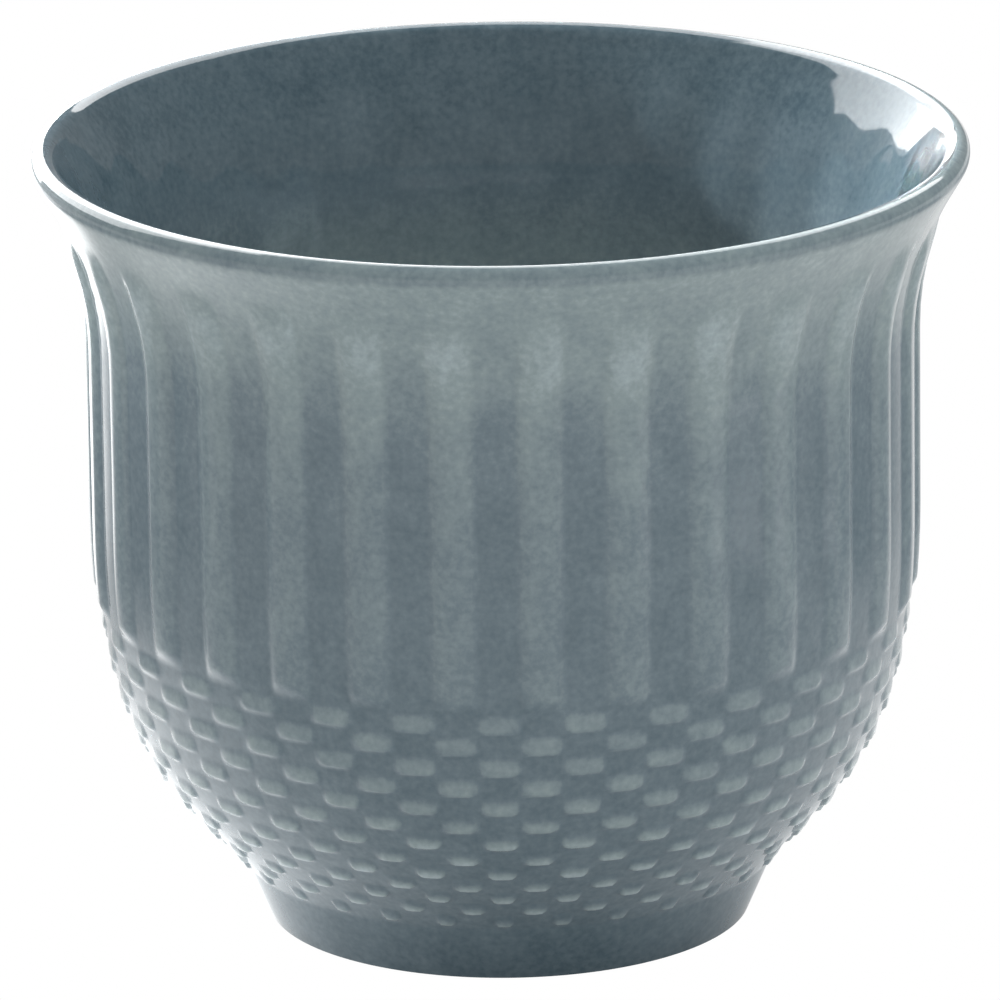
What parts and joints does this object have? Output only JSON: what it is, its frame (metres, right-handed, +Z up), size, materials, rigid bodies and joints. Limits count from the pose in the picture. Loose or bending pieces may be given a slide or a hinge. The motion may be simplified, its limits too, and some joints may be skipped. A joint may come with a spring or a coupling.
{
  "type": "handleless cup",
  "caption": "Glazed stoneware cup without a handle, with a flared lip, upright ribs, a studded lower bowl and a plain foot ring.",
  "frame": {"origin": "centre of the standing face of the foot ring", "axes": "+Z up along the cup's axis, -Y through the middle of a flute"},
  "size_m": [0.0904, 0.0904, 0.0775],
  "materials": {
    "stoneware": "fired, unglazed, matt",
    "outer_glaze": "glossy grey-blue glaze, paler where thin",
    "inner_glaze": "glossy grey-blue glaze",
    "base_glaze": "glossy grey-blue glaze"
  },
  "bodies": {
    "root": {"stoneware_body": "stoneware", "outer_glaze": "outer_glaze", "inner_glaze": "inner_glaze", "base_glaze": "base_glaze"}
  },
  "joints": []
}
